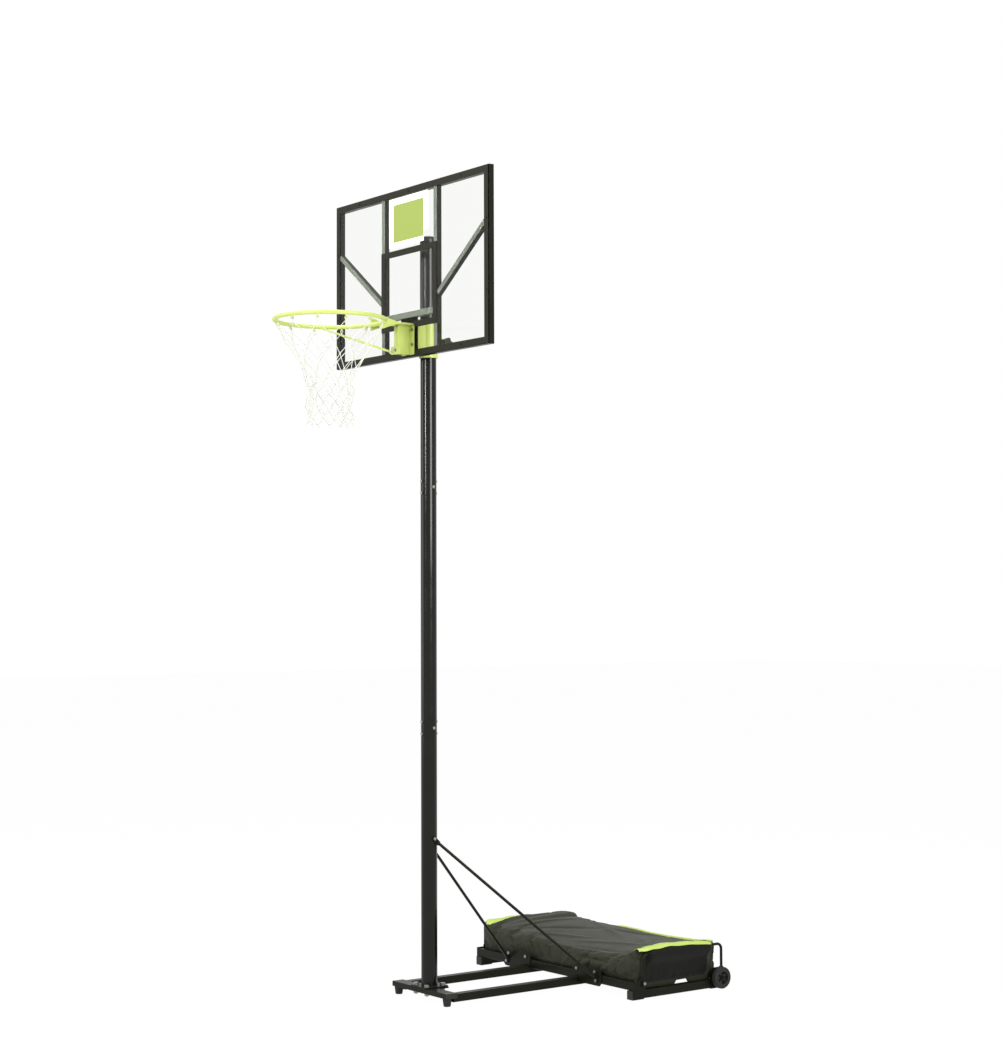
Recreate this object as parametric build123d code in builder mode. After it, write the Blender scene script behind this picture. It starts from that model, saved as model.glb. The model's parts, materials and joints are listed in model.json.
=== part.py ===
from build123d import *

import math
import os

# Portable basketball hoop on a ballasted wheeled base, with a height-adjustable clear backboard.
# Frame: X runs across the board, the ring looks towards -Y, Z is up and the ground is Z = 0.
# The origin lies under the middle of the whole hoop. All sizes are in millimetres.

os.makedirs("parts", exist_ok=True)

# ---------------------------------------------------------------- driving dimensions

# Clearances
running_fit = 0.1  # a turning shaft or a bolt in its hole, on each side
sliding_fit = 0.3  # the sleeve on the pole, and pieces that stand just off each other
soft_gap = 0.5  # cloth beside steel

# Pole: three swaged round tubes that plug into one another
pole_diameter = 70.0
pole_wall = 2.5
lower_seam = 1116.0
upper_seam = 2159.0
pole_top = 3292.0
spigot_length = 100.0
swage_height = 8.0
cap_overhang = 2.0
cap_height = 12.0
cap_plug = 22.0

# Foot of the pole
flange_side = 120.0
flange_thickness = 6.0
flange_bolt_spacing = 82.0
corner_radius = 8.0
bar_length = 404.0
bar_depth = 58.0
bar_height = 22.0
bar_top = 55.0
bar_front = 55.0  # how far the crossbar reaches in front of the pole's axis
tube_wall = 2.0
tube_corner = 3.0
cap_plate = 2.0
cap_tongue = 10.0
foot_setback = 35.0
foot_top_diameter = 38.0
foot_sole_diameter = 30.0
foot_stud_diameter = 8.0
foot_stud_depth = 17.0
foot_stud_rise = 12.0

# Long beams from the crossbar to the tray
beam_spacing = 364.0
beam_width = 40.0
beam_height = 34.0
beam_bottom = 17.0
beam_front = -14.0  # from the pole's axis, positive towards the tray
beam_tail = 59.0  # how far the beams run on behind the tray's front rail

# Tray for the ballast
tray_width = 1134.0
tray_front = 670.0  # from the pole's axis
tray_depth = 508.0
rail_size = 36.0
shoe_sole = 3.0
shoe_toe = 6.0
shoe_length = 60.0
slat_count = 4
slat_width = 40.0
slat_thickness = 4.0
slat_margin = 167.0
slat_drop = 14.3  # from the rail's top to the slat's top

# Plates on the tray
plate_thickness = 4.0
strut_plate_width = 200.0
strut_plate_start = 155.0
strut_plate_bottom = 28.0
strut_plate_top = 102.0
strut_plate_chamfer = 14.0
strap_bolt_inset = 31.0
strap_bolt_second = 42.0
strap_bolt_height = 88.0
corner_plate_depth = 65.0
corner_plate_bottom = 10.0
corner_plate_top = 80.0
wheel_plate_depth = 72.0
wheel_plate_bottom = 8.0
wheel_plate_top = 92.0
wheel_plate_overhang = 12.0

# Bag hoops: bent rods that stand at both ends of the tray
hoop_rod = 12.0
hoop_top = 195.0
hoop_bend = 24.0
hoop_front = 722.0
hoop_rear = 1172.0
lug_width = 20.0
lug_thickness = 6.0
lug_height = 34.0
hoop_bolt_height = 68.0

# Struts from the pole to the tray
strut_diameter = 13.0
strut_tab = 5.0
strut_tab_width = 20.0
strut_tab_length = 30.0
strut_foot_tab = 16.0
strut_pole_height = 690.0
strut_foot_spacing = 650.0
strut_foot_height = 52.0

# Wheels
wheel_diameter = 95.0
wheel_width = 24.0
wheel_lift = 1.5
wheel_setback = 1155.0
wheel_offset = 12.0  # from the wheel plate to the wheel
hub_diameter = 68.0
hub_rim = 6.0
hub_web = 8.0
hub_boss = 22.0
hub_hole = 12.0
hub_hole_count = 5
tread_radius = 5.0
axle_diameter = 10.0
axle_head_diameter = 18.0
axle_head = 5.0

# Ballast
slab_margin = 46.0  # from the bag's front and rear to the slabs
slab_thickness = 80.0
slab_gap = 4.0
bag_end_margin = 17.0  # from the tray's end to the bag's end
bag_front_margin = 24.0
bag_rear_margin = 8.0
bag_floor = 61.0
bag_droop = 16.0  # how far its ends hang below that, between the outer slats and the end rails
bag_cloth = 4.0
bag_tuck = 10.0
bag_end_height = 208.0
bag_rear_height = 203.0
bag_front_height = 157.0

# Backboard
board_width = 1170.0
board_height = 745.0
board_bottom = 2769.0
board_face = 104.0  # from the pole's axis to the panel's face
panel_thickness = 4.0
panel_inset = 2.0
panel_corner = 6.0
frame_face = 30.0
frame_depth = 25.0
upright_spacing = 400.0
upright_width = 25.0
cross_tube_middle = 186.0  # above the board's bottom edge
cross_tube_height = 27.0
brace_tube = 22.0
brace_outer_height = 511.0  # above the board's bottom edge
brace_inner_height = 255.0
screw_diameter = 4.0
screw_head = 9.0
screw_head_height = 2.2
screw_length = 10.0

# Ring and its bracket
rim_rise = 131.0  # from the board's bottom edge to the middle of the ring's rod
ring_inner_diameter = 450.0
ring_rod = 18.0
ring_reach = 401.0  # from the panel's face to the ring's centre
hook_count = 12
hook_wire = 5.0
hook_drop = 19.0
hook_reach = 12.0
hook_bend = 3.5
bracket_width = 90.0
bracket_nose = 28.0
bracket_depth = 66.0
bracket_rise = 9.0  # from the board's bottom edge
bracket_sheet = 4.0
bracket_slot = 8.0
ring_plate_thickness = 6.0
gusset_length = 68.0
gusset_rise = 24.0
gusset_fall = 31.0
stay_diameter = 9.0
stay_offset = 22.0  # from the middle of its lug
stay_lug_width = 64.0
stay_lug_height = 34.0
stay_angle = 22.0  # where the stay meets the ring, degrees behind its widest point
mount_plate_width = 124.0
mount_plate_thickness = 5.0
mount_bolt_width = 70.0
mount_bolt_height = 65.0
mount_bolt_rise = 51.0  # from the board's bottom edge

# Net
net_length = 427.0
net_mouth = 452.0
net_tube = 202.0
net_cord = 2.5
net_knee = 0.52  # the share of the length over which the net narrows

# Sliding sleeve
sleeve_diameter = 82.0
sleeve_rise = 2.0  # from the board's bottom edge
sleeve_height = 163.0
sleeve_flange_width = 110.0
cheek_spacing = 49.0
cheek_thickness = 5.0
sleeve_slit = 4.0
ear_thickness = 6.0
ear_reach = 76.0
ear_height = 50.0
ear_rise = 43.0  # from the board's bottom edge
clamp_setback = 60.0
knob_screw = 10.0
knob_collar = 22.0
knob_stem = 37.0
knob_width = 25.0
knob_diameter = 48.0
knob_lobes = 5
knob_nut = 8.0

# Bolts, by thread size: shank, head across its corners, head height
heavy_bolt = (12.0, 22.0, 8.0)
light_bolt = (8.0, 15.0, 5.5)
washer_diameter = 25.0
washer_thickness = 2.0
bolt_tail = 3.0

# ---------------------------------------------------------------- derived places

pole_radius = pole_diameter / 2
spigot_radius = pole_radius - pole_wall - running_fit
ring_radius = (ring_inner_diameter + ring_rod) / 2
front_reach = board_face + ring_reach + ring_radius + ring_rod / 2
rear_reach = wheel_setback + wheel_diameter / 2
pole_y = (front_reach - rear_reach) / 2
pole_axis = Axis((0, pole_y, 0), (0, 0, 1))

flange_top = bar_top + flange_thickness
bar_bottom = bar_top - bar_height
bar_back = bar_depth - bar_front
tray_rear = tray_front + tray_depth
rail_bottom = shoe_sole + rail_size
rail_top = rail_bottom + rail_size
plate_face = tray_front - plate_thickness
bag_length = tray_width - 2 * bag_end_margin
bag_front = tray_front + bag_front_margin
bag_rear = tray_rear + bag_rear_margin
plate_x = tray_width / 2 + plate_thickness
wheel_z = wheel_diameter / 2 + wheel_lift
wheel_x = plate_x + wheel_offset

board_top = board_bottom + board_height
rim_height = board_bottom + rim_rise
bracket_bottom = board_bottom + bracket_rise
mount_bolt_bottom = board_bottom + mount_bolt_rise
sleeve_bottom = board_bottom + sleeve_rise
ear_bottom = board_bottom + ear_rise
panel_y = pole_y - board_face
frame_y = panel_y + panel_thickness
ring_y = panel_y - ring_reach
bracket_y = panel_y - bracket_sheet
nose_y = panel_y - bracket_depth
mount_back = frame_y + mount_plate_thickness
sleeve_face = mount_back + cheek_thickness
bracket_top = rim_height + ring_rod / 2 - 4
ring_plate_top = bracket_top + ring_plate_thickness
clamp_y = pole_y + clamp_setback
clamp_z = ear_bottom + ear_height / 2
ear_x = sleeve_slit / 2 + ear_thickness
sides = (("left", -1), ("right", 1))


def level(z):
    """Horizontal sketch plane at height z."""
    return Plane.XY.offset(z)


def across(x):
    """Upright sketch plane that faces +X, drawn in Y and Z."""
    return Plane.YZ.offset(x)


def facing(y):
    """Upright sketch plane that faces -Y, drawn in X and Z."""
    return Plane.XZ.offset(-y)


def tube_section(plane, centre, width, height, wall=tube_wall):
    """Hollow rectangular tube section with rounded outer corners."""
    with BuildSketch(plane) as section:
        with Locations(centre):
            RectangleRounded(width, height, tube_corner)
            Rectangle(width - 2 * wall, height - 2 * wall, mode=Mode.SUBTRACT)
    return section.sketch


def block(plane, low, high):
    """Rectangle between two corners of a sketch plane."""
    with BuildSketch(plane) as section:
        with Locations(((low[0] + high[0]) / 2, (low[1] + high[1]) / 2)):
            Rectangle(high[0] - low[0], high[1] - low[1])
    return section.sketch


def outline(plane, points):
    """Closed straight-sided outline."""
    with BuildSketch(plane) as section:
        with BuildLine():
            Polyline(*points, close=True)
        make_face()
    return section.sketch


def discs(plane, places, diameter, bore=0.0):
    """Discs, or rings where a bore is given, at places on a plane."""
    with BuildSketch(plane) as section:
        with Locations(*places):
            Circle(diameter / 2)
            if bore:
                Circle(bore / 2, mode=Mode.SUBTRACT)
    return section.sketch


def hexagons(plane, place, across_corners, bore=0.0):
    """Hexagon for a bolt head or, with a bore, for a nut."""
    with BuildSketch(plane) as section:
        with Locations(place):
            RegularPolygon(across_corners / 2, 6)
            if bore:
                Circle(bore / 2, mode=Mode.SUBTRACT)
    return section.sketch


def bolted(plane, place, size, grip, washer=False):
    """Bolt and nut: the plane lies under the head and its normal points along the shank."""
    shank, head, height = size
    under = plane.offset(-washer_thickness if washer else 0)
    with BuildPart() as pair:
        extrude(hexagons(under, place, head), amount=-height)
        if washer:
            extrude(discs(plane, [place], washer_diameter), amount=-washer_thickness)
        extrude(discs(plane, [place], shank), amount=grip + height + bolt_tail)
        extrude(hexagons(plane.offset(grip), place, head, shank + 2 * running_fit), amount=height)
    return pair.part


def save(piece, label):
    """Label a finished piece and write its STEP file."""
    piece.part.label = label
    export_step(piece.part, f"parts/{label}.step")


# ---------------------------------------------------------------- pole


def pole_profile(bottom, top, swaged):
    """Half section of one pole tube, on the plane through its axis."""
    inner = pole_radius - pole_wall
    neck = spigot_radius - pole_wall
    foot = [(inner, bottom), (pole_radius, bottom), (pole_radius, top)]
    if swaged:
        head = [
            (spigot_radius, top),
            (spigot_radius, top + spigot_length),
            (neck, top + spigot_length),
            (neck, top - swage_height),
            (inner, top - 2 * swage_height),
        ]
    else:
        head = [(inner, top)]
    return outline(facing(pole_y), foot + head)


# Heights of each joint's bolts above its seam: one from side to side, two from the front
side_bolt_rise = 49.0
front_bolt_rises = (23.0, 75.0)
seams = (lower_seam, upper_seam)
side_bolts = [(pole_y, seam + side_bolt_rise) for seam in seams]
front_bolts = [(0, seam + rise) for seam in seams for rise in front_bolt_rises]
splice_hole = light_bolt[0] + 2 * running_fit

pole_tubes = (
    ("lower_pole", flange_top, lower_seam, True),
    ("middle_pole", lower_seam, upper_seam, True),
    ("upper_pole", upper_seam, pole_top, False),
)
for label, bottom, top, swaged in pole_tubes:
    with BuildPart() as pole_tube:
        revolve(pole_profile(bottom, top, swaged), axis=pole_axis)
        extrude(discs(across(0), side_bolts, splice_hole), pole_radius, both=True, mode=Mode.SUBTRACT)
        extrude(discs(facing(pole_y), front_bolts, splice_hole), pole_radius, both=True, mode=Mode.SUBTRACT)
        strut_hole = [(pole_y, strut_pole_height)]
        extrude(discs(across(0), strut_hole, splice_hole), pole_radius, both=True, mode=Mode.SUBTRACT)
    save(pole_tube, label)

with BuildPart() as splice_bolts:
    head_from_right = Plane((pole_radius, 0, 0), x_dir=(0, 1, 0), z_dir=(-1, 0, 0))
    for place in side_bolts:
        add(bolted(head_from_right, (place[0], -place[1]), light_bolt, pole_diameter))
    head_from_front = Plane((0, pole_y - pole_radius, 0), x_dir=(1, 0, 0), z_dir=(0, 1, 0))
    for place in front_bolts:
        add(bolted(head_from_front, (place[0], -place[1]), light_bolt, pole_diameter))
save(splice_bolts, "splice_bolts")

with BuildPart() as pole_cap:
    extrude(discs(level(pole_top), [(0, pole_y)], pole_diameter + 2 * cap_overhang), amount=cap_height)
    fillet(pole_cap.edges().group_by(Axis.Z)[-1], cap_height - cap_overhang)
    extrude(discs(level(pole_top), [(0, pole_y)], 2 * spigot_radius), amount=-cap_plug)
save(pole_cap, "pole_cap")

# ---------------------------------------------------------------- foot of the pole

half_bolts = flange_bolt_spacing / 2
front_pair = [(x, pole_y - half_bolts) for x in (-half_bolts, half_bolts)]
rear_pair = [(x, pole_y + half_bolts) for x in (-half_bolts, half_bolts)]
flange_hole = heavy_bolt[0] + 2 * running_fit

with BuildPart() as pole_flange:
    with BuildSketch(level(bar_top)):
        with Locations((0, pole_y)):
            RectangleRounded(flange_side, flange_side, corner_radius)
    extrude(amount=flange_thickness)
    extrude(discs(level(bar_top), front_pair + rear_pair, flange_hole), flange_thickness, mode=Mode.SUBTRACT)
save(pole_flange, "pole_flange")

with BuildPart() as base_shelf:
    shelf_rear = pole_y + flange_side / 2
    shelf = block(level(bar_top), (-flange_side / 2, pole_y + bar_back), (flange_side / 2, shelf_rear))
    extrude(shelf, amount=-flange_thickness)
    extrude(discs(level(bar_top), rear_pair, flange_hole), amount=-flange_thickness, mode=Mode.SUBTRACT)
save(base_shelf, "base_shelf")

with BuildPart() as base_bolts:
    head_down = Plane((0, 0, flange_top), x_dir=(1, 0, 0), z_dir=(0, 0, -1))
    for x, y in front_pair:
        add(bolted(head_down, (x, -y), heavy_bolt, flange_thickness + bar_height, washer=True))
    for x, y in rear_pair:
        add(bolted(head_down, (x, -y), heavy_bolt, 2 * flange_thickness, washer=True))
save(base_bolts, "base_bolts")

foot_x = beam_spacing / 2
foot_y = pole_y - foot_setback
feet = [(-foot_x, foot_y), (foot_x, foot_y)]
stud_hole = foot_stud_diameter + 2 * running_fit

with BuildPart() as front_crossbar:
    bar_middle = (pole_y - bar_front + bar_depth / 2, bar_top - bar_height / 2)
    extrude(tube_section(across(-bar_length / 2), bar_middle, bar_depth, bar_height), amount=bar_length)
    extrude(discs(level(bar_bottom), front_pair, flange_hole), bar_height, mode=Mode.SUBTRACT)
    extrude(discs(level(bar_bottom), feet, stud_hole), tube_wall, mode=Mode.SUBTRACT)
save(front_crossbar, "front_crossbar")

for (side, sign), place in zip(sides, feet):
    with BuildPart() as front_foot:
        cone = [
            (0, 0),
            (foot_sole_diameter / 2, 0),
            (foot_top_diameter / 2, bar_bottom - 2 * tube_corner),
            (foot_top_diameter / 2, bar_bottom),
            (0, bar_bottom),
        ]
        half = outline(facing(foot_y), [(sign * foot_x + x, z) for x, z in cone])
        revolve(half, axis=Axis((sign * foot_x, foot_y, 0), (0, 0, 1)))
        sole = front_foot.edges().group_by(Axis.Z)[0]
        fillet(sole, 2.0)
        socket = discs(level(bar_bottom), [place], stud_hole)
        extrude(socket, amount=-foot_stud_depth, mode=Mode.SUBTRACT)
    save(front_foot, f"front_foot_{side}")

with BuildPart() as foot_studs:
    nut_seat = level(bar_bottom + tube_wall)
    for place in feet:
        stud = discs(level(bar_bottom - foot_stud_depth), [place], foot_stud_diameter)
        extrude(stud, amount=foot_stud_depth + foot_stud_rise)
        extrude(hexagons(nut_seat, place, light_bolt[1], stud_hole), amount=light_bolt[2])
save(foot_studs, "foot_studs")

# ---------------------------------------------------------------- beams

beam_start = pole_y + beam_front
beam_end = pole_y + tray_front + rail_size + beam_tail
beam_middle = beam_bottom + beam_height / 2

for side, sign in sides:
    beam_x = sign * beam_spacing / 2
    low_x = beam_x - beam_width / 2
    high_x = beam_x + beam_width / 2
    with BuildPart() as beam:
        section = tube_section(facing(beam_start), (beam_x, beam_middle), beam_width, beam_height)
        extrude(section, amount=beam_start - beam_end)
        front_notch = block(level(bar_bottom), (low_x, beam_start), (high_x, pole_y + bar_back))
        extrude(front_notch, amount=beam_height, mode=Mode.SUBTRACT)
        rear_notch = block(level(rail_bottom), (low_x, pole_y + tray_front), (high_x, beam_end))
        extrude(rear_notch, amount=beam_height, mode=Mode.SUBTRACT)
    save(beam, f"beam_{side}")

with BuildPart() as tube_end_caps:
    for _, sign in sides:
        bar_end = Plane((sign * bar_length / 2, 0, 0), x_dir=(0, sign, 0), z_dir=(sign, 0, 0))
        plug = bar_depth - 2 * tube_wall - 2 * running_fit, bar_height - 2 * tube_wall - 2 * running_fit
        with BuildSketch(bar_end):
            with Locations((sign * bar_middle[0], bar_middle[1])):
                RectangleRounded(bar_depth, bar_height, tube_corner)
        extrude(amount=cap_plate)
        with BuildSketch(bar_end):
            with Locations((sign * bar_middle[0], bar_middle[1])):
                Rectangle(*plug)
        extrude(amount=-cap_tongue)
        tail_x = sign * beam_spacing / 2
        low = (tail_x - beam_width / 2, beam_bottom)
        high = (tail_x + beam_width / 2, rail_bottom)
        extrude(block(facing(beam_end), low, high), amount=-cap_plate)
save(tube_end_caps, "tube_end_caps")

# ---------------------------------------------------------------- tray

strut_feet = [(sign * strut_foot_spacing / 2, strut_foot_height) for _, sign in sides]
bolt_hole = light_bolt[0] + 2 * running_fit

for label, front in (("front_rail", tray_front), ("rear_rail", tray_rear - rail_size)):
    with BuildPart() as rail:
        middle = (pole_y + front + rail_size / 2, rail_bottom + rail_size / 2)
        extrude(tube_section(across(-tray_width / 2), middle, rail_size, rail_size), amount=tray_width)
        if label == "front_rail":
            holes = discs(facing(pole_y + tray_front), strut_feet, bolt_hole)
            extrude(holes, amount=-rail_size, mode=Mode.SUBTRACT)
    save(rail, label)

for side, sign in sides:
    with BuildPart() as end_rail:
        middle = (sign * (tray_width - rail_size) / 2, shoe_sole + rail_size / 2)
        extrude(tube_section(facing(pole_y + tray_front), middle, rail_size, rail_size), amount=-tray_depth)
    save(end_rail, f"end_rail_{side}")

with BuildPart() as rail_shoes:
    for _, sign in sides:
        outer = sign * tray_width / 2
        inner = outer - sign * rail_size
        low_x, high_x = sorted((outer, inner))
        for end, toe_end, heel in ((tray_front, -shoe_toe, shoe_length), (tray_rear, shoe_toe, -shoe_length)):
            toe = sorted((pole_y + end, pole_y + end + toe_end))
            sole = sorted((pole_y + end, pole_y + end + heel))
            extrude(block(level(0), (low_x, toe[0]), (high_x, toe[1])), amount=rail_bottom)
            extrude(block(level(0), (low_x, sole[0]), (high_x, sole[1])), amount=shoe_sole)
    toes = rail_shoes.edges().filter_by(Axis.X).group_by(Axis.Z)[0].sort_by(Axis.Y)
    chamfer([edge for edge in toes if edge.center().Y in (toes[0].center().Y, toes[-1].center().Y)], 2.0)
save(rail_shoes, "rail_shoes")

with BuildPart() as tray_slats:
    slat_span = tray_width - 2 * slat_margin
    slat_top = rail_top - slat_drop
    slat_start = pole_y + tray_front + rail_size
    slat_end = pole_y + tray_rear - rail_size
    for index in range(slat_count):
        x = -slat_span / 2 + index * slat_span / (slat_count - 1)
        bar = block(level(slat_top), (x - slat_width / 2, slat_start), (x + slat_width / 2, slat_end))
        extrude(bar, amount=-slat_thickness)
save(tray_slats, "tray_slats")

with BuildPart() as strut_plates:
    face = facing(pole_y + tray_front)
    notch = sliding_fit + beam_width / 2
    for _, sign in sides:
        ends = sorted((sign * strut_plate_start, sign * (strut_plate_start + strut_plate_width)))
        with BuildSketch(face):
            add(block(face, (ends[0], strut_plate_bottom), (ends[1], strut_plate_top)))
            chamfer(vertices().group_by(Axis.Z)[-1], strut_plate_chamfer)
        extrude(amount=plate_thickness)
        gap_x = sign * beam_spacing / 2
        gap_top = beam_bottom + beam_height + sliding_fit
        gap = block(face, (gap_x - notch, 0), (gap_x + notch, gap_top))
        extrude(gap, amount=plate_thickness, mode=Mode.SUBTRACT)
        first = strut_plate_start + strap_bolt_inset
        last = strut_plate_start + strut_plate_width - strap_bolt_second
        strap = [(sign * first, strap_bolt_height), (sign * last, strap_bolt_height)]
        extrude(discs(face, strap + strut_feet, bolt_hole), amount=plate_thickness, mode=Mode.SUBTRACT)
save(strut_plates, "strut_plates")

with BuildPart() as plate_bolts:
    front_face = Plane((0, pole_y + plate_face, 0), x_dir=(1, 0, 0), z_dir=(0, 1, 0))
    for _, sign in sides:
        for x in (first, last):
            add(bolted(front_face, (sign * x, -strap_bolt_height), light_bolt, plate_thickness))
    for x, z in strut_feet:
        head_seat = front_face.offset(-strut_tab)
        add(bolted(head_seat, (x, -z), light_bolt, strut_tab + plate_thickness + rail_size))
save(plate_bolts, "plate_bolts")

hoop_bolt = (pole_y + hoop_front, hoop_bolt_height)
with BuildPart() as corner_plates:
    low = (pole_y + tray_front, corner_plate_bottom)
    high = (pole_y + tray_front + corner_plate_depth, corner_plate_top)
    for _, sign in sides:
        extrude(block(across(sign * tray_width / 2), low, high), amount=sign * plate_thickness)
    rear_corners = corner_plates.edges().filter_by(Axis.X).group_by(Axis.Y)[-1]
    chamfer(rear_corners, strut_plate_chamfer)
    extrude(discs(across(0), [hoop_bolt], bolt_hole), plate_x, both=True, mode=Mode.SUBTRACT)
save(corner_plates, "corner_plates")

axle_place = (pole_y + wheel_setback, wheel_z)
axle_thread = light_bolt[0]
with BuildPart() as wheel_plates:
    plate_rear = pole_y + tray_rear + wheel_plate_overhang
    low = (plate_rear - wheel_plate_depth, wheel_plate_bottom)
    high = (plate_rear, wheel_plate_top)
    for _, sign in sides:
        extrude(block(across(sign * tray_width / 2), low, high), amount=sign * plate_thickness)
    front_corners = wheel_plates.edges().filter_by(Axis.X).group_by(Axis.Y)[0]
    chamfer(front_corners, strut_plate_chamfer)
    extrude(discs(across(0), [axle_place], bolt_hole), plate_x, both=True, mode=Mode.SUBTRACT)
save(wheel_plates, "wheel_plates")

# ---------------------------------------------------------------- bag hoops

hoop_x = plate_x + lug_thickness - 1
rear_lug_bottom = wheel_plate_top - lug_height + 4
front_lug_bottom = hoop_bolt_height - lug_height / 2 + 4

for side, sign in sides:
    with BuildPart() as hoop:
        front_start = front_lug_bottom + lug_height - 4
        rear_start = rear_lug_bottom + lug_height - 4
        with BuildLine(across(sign * hoop_x)) as bend:
            FilletPolyline(
                (pole_y + hoop_front, front_start),
                (pole_y + hoop_front, hoop_top),
                (pole_y + hoop_rear, hoop_top),
                (pole_y + hoop_rear, rear_start),
                radius=hoop_bend,
            )
        with BuildSketch(Plane(bend.line @ 0, z_dir=bend.line % 0)):
            Circle(hoop_rod / 2)
        sweep(path=bend.line)
        seat = across(sign * plate_x)
        for leg, bottom in ((hoop_front, front_lug_bottom), (hoop_rear, rear_lug_bottom)):
            low = (pole_y + leg - lug_width / 2, bottom)
            high = (pole_y + leg + lug_width / 2, bottom + lug_height)
            extrude(block(seat, low, high), amount=sign * lug_thickness)
        extrude(discs(seat, [hoop_bolt], bolt_hole), amount=sign * lug_thickness, mode=Mode.SUBTRACT)
    save(hoop, f"bag_hoop_{side}")

with BuildPart() as hoop_bolts:
    for _, sign in sides:
        head_seat = Plane((sign * (plate_x + lug_thickness), 0, 0), x_dir=(0, 1, 0), z_dir=(-sign, 0, 0))
        place = (hoop_bolt[0], -sign * hoop_bolt[1])
        add(bolted(head_seat, place, light_bolt, lug_thickness + plate_thickness))
save(hoop_bolts, "hoop_bolts")

# ---------------------------------------------------------------- struts

strut_face = pole_y + plate_face

for side, sign in sides:
    upper = Vector(sign * (pole_radius + sliding_fit + strut_tab / 2), pole_y, strut_pole_height)
    lower = Vector(sign * strut_foot_spacing / 2, strut_face - strut_tab / 2, strut_foot_height)
    run = (lower - upper).normalized()
    upper_lean = Vector(0, run.Y, run.Z).normalized()
    lower_lean = Vector(run.X, 0, run.Z).normalized()
    rod_reach = strut_diameter / 2 * math.sqrt(1 - run.Y**2)
    rod_top = upper + upper_lean * (strut_tab_length - strut_diameter / 2)
    rod_foot = lower - lower_lean * strut_foot_tab
    rod_foot.Y = strut_face - rod_reach - sliding_fit
    upper_face = Plane(upper - Vector(sign * strut_tab / 2, 0, 0), x_dir=upper_lean, z_dir=(sign, 0, 0))
    lower_face = Plane(lower + Vector(0, strut_tab / 2, 0), x_dir=-lower_lean, z_dir=(0, -1, 0))
    with BuildPart() as strut:
        with BuildSketch(Plane(rod_top, z_dir=rod_foot - rod_top)):
            Circle(strut_diameter / 2)
        extrude(amount=(rod_foot - rod_top).length)
        for tab_face, reach in ((upper_face, strut_tab_length), (lower_face, strut_foot_tab)):
            with BuildSketch(tab_face):
                with Locations((reach / 2, 0)):
                    SlotCenterToCenter(reach, strut_tab_width)
                Circle(bolt_hole / 2, mode=Mode.SUBTRACT)
            extrude(amount=strut_tab)
    save(strut, f"strut_{side}")

with BuildPart() as strut_pole_bolt:
    head_x = pole_radius + sliding_fit + strut_tab
    head_seat = Plane((head_x, 0, 0), x_dir=(0, 1, 0), z_dir=(-1, 0, 0))
    add(bolted(head_seat, (pole_y, -strut_pole_height), light_bolt, 2 * head_x))
save(strut_pole_bolt, "strut_pole_bolt")

# ---------------------------------------------------------------- wheels

for side, sign in sides:
    inner_face = across(sign * wheel_x)
    web_face = across(sign * (wheel_x + (wheel_width - hub_web) / 2))
    wheel_centre = [axle_place]
    hub_bore = axle_diameter + 2 * running_fit
    with BuildPart() as hub:
        rim = discs(inner_face, wheel_centre, hub_diameter, hub_diameter - 2 * hub_rim)
        extrude(rim, amount=sign * wheel_width)
        extrude(discs(web_face, wheel_centre, hub_diameter - hub_rim), amount=sign * hub_web)
        extrude(discs(inner_face, wheel_centre, hub_boss), amount=sign * wheel_width)
        extrude(discs(inner_face, wheel_centre, hub_bore), amount=sign * wheel_width, mode=Mode.SUBTRACT)
        with BuildSketch(web_face):
            with Locations(axle_place):
                with PolarLocations((hub_diameter / 2 - hub_rim + hub_boss / 2) / 2, hub_hole_count):
                    Circle(hub_hole / 2)
        extrude(amount=sign * hub_web, mode=Mode.SUBTRACT)
    save(hub, f"{side}_hub")
    with BuildPart() as tyre:
        band = discs(inner_face, wheel_centre, wheel_diameter, hub_diameter + running_fit)
        extrude(band, amount=sign * wheel_width)
        shoulders = tyre.edges().filter_by(GeomType.CIRCLE).sort_by(SortBy.RADIUS)[-2:]
        fillet(shoulders, tread_radius)
    save(tyre, f"{side}_tyre")

with BuildPart() as wheel_axles:
    for _, sign in sides:
        wheel_side = across(sign * plate_x)
        shaft = wheel_offset + wheel_width + sliding_fit
        extrude(discs(wheel_side, [axle_place], axle_diameter), amount=sign * shaft)
        head = discs(across(sign * (plate_x + shaft)), [axle_place], axle_head_diameter)
        extrude(head, amount=sign * axle_head)
        collar = discs(wheel_side, [axle_place], axle_diameter + tube_corner * 2)
        extrude(collar, amount=sign * (wheel_offset - sliding_fit))
        thread_length = plate_thickness + light_bolt[2] + bolt_tail
        extrude(discs(wheel_side, [axle_place], axle_thread), amount=-sign * thread_length)
        nut_seat = across(sign * tray_width / 2)
        nut = hexagons(nut_seat, axle_place, light_bolt[1] - 1, axle_thread + 2 * running_fit)
        extrude(nut, amount=-sign * light_bolt[2])
save(wheel_axles, "wheel_axles")

# ---------------------------------------------------------------- ballast

slab_side = bag_rear - bag_front - 2 * slab_margin
slab_front = pole_y + bag_front + slab_margin
slab_floor = bag_floor + bag_cloth

with BuildPart() as ballast_slabs:
    for _, sign in sides:
        edges = sorted((sign * slab_gap / 2, sign * (slab_gap / 2 + slab_side)))
        slab = block(level(slab_floor), (edges[0], slab_front), (edges[1], slab_front + slab_side))
        extrude(slab, amount=slab_thickness)
save(ballast_slabs, "ballast_slabs")


def bag_section(x, front_height, ridge_height, rear_height):
    """Slice across the bag: slack front, low top and a fuller rear edge."""
    front = pole_y + bag_front
    rear = pole_y + bag_rear
    base = rail_top + soft_gap
    middle = (front + rear) / 2
    return outline(
        across(x),
        [
            (front + bag_tuck, base),
            (front, (base + front_height) / 2),
            (front + 2 * bag_tuck, front_height),
            (middle, ridge_height),
            (rear - 2 * bag_tuck, rear_height),
            (rear, (base + rear_height) / 2),
            (rear - bag_tuck, base),
        ],
    )


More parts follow.
